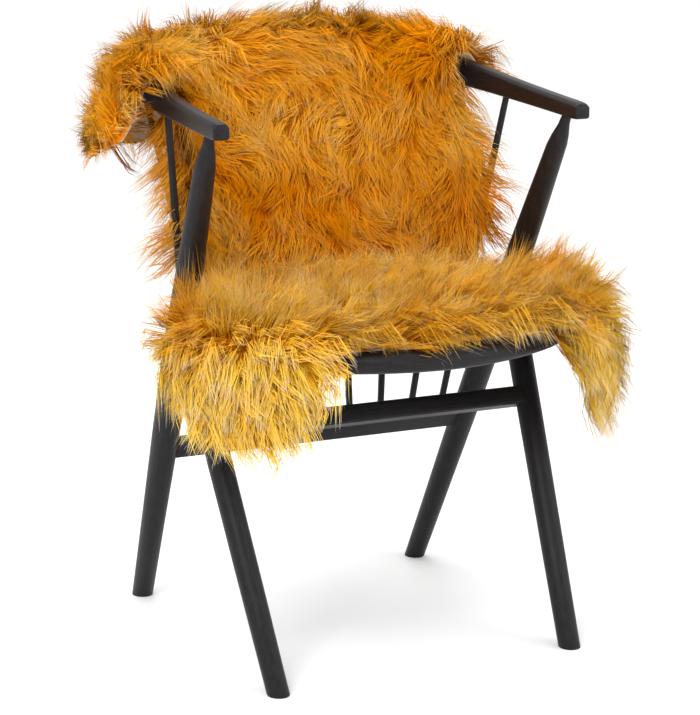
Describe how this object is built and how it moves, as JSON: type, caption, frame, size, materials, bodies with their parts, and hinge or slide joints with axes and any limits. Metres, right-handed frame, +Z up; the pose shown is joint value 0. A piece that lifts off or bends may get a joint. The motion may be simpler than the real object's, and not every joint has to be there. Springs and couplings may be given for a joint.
{
  "type": "sheepskin rug on a spindle-back chair",
  "caption": "Long-wool sheepskin rug draped over the bow, seat and front corners of a plain black spindle-back armchair.",
  "frame": {"origin": "middle of the object's box, at floor level under the chair's feet", "axes": "+Z up, -Y the way the chair faces, +X to the right of a viewer facing the chair's front"},
  "size_m": [0.6796, 0.61, 0.8491],
  "materials": {
    "black_wood": "satin black stain over open grain",
    "gold_wool": "long glossy dyed wool"
  },
  "bodies": {
    "root": {"arm_post_left": "black_wood", "arm_post_right": "black_wood", "back_rail": "black_wood", "bow": "black_wood", "fleece": "gold_wool", "front_leg_left": "black_wood", "front_leg_right": "black_wood", "front_rail": "black_wood", "rim_back_1": "gold_wool", "rim_back_2": "gold_wool", "rim_back_3": "gold_wool", "rim_back_4": "gold_wool", "rim_back_5": "gold_wool", "rim_front_1": "gold_wool", "rim_front_2": "gold_wool", "rim_front_3": "gold_wool", "rim_front_4": "gold_wool", "rim_front_5": "gold_wool", "rim_front_6": "gold_wool", "rim_front_7": "gold_wool", "rim_left_1": "gold_wool", "rim_left_2": "gold_wool", "rim_left_3": "gold_wool", "rim_left_4": "gold_wool", "rim_left_5": "gold_wool", "rim_right_1": "gold_wool", "rim_right_2": "gold_wool", "rim_right_3": "gold_wool", "rim_right_4": "gold_wool", "rim_right_5": "gold_wool", "seat": "black_wood", "spindle_left_1": "black_wood", "spindle_left_2": "black_wood", "spindle_left_3": "black_wood", "spindle_left_4": "black_wood", "spindle_middle": "black_wood", "spindle_right_1": "black_wood", "spindle_right_2": "black_wood", "spindle_right_3": "black_wood", "spindle_right_4": "black_wood"}
  },
  "joints": []
}
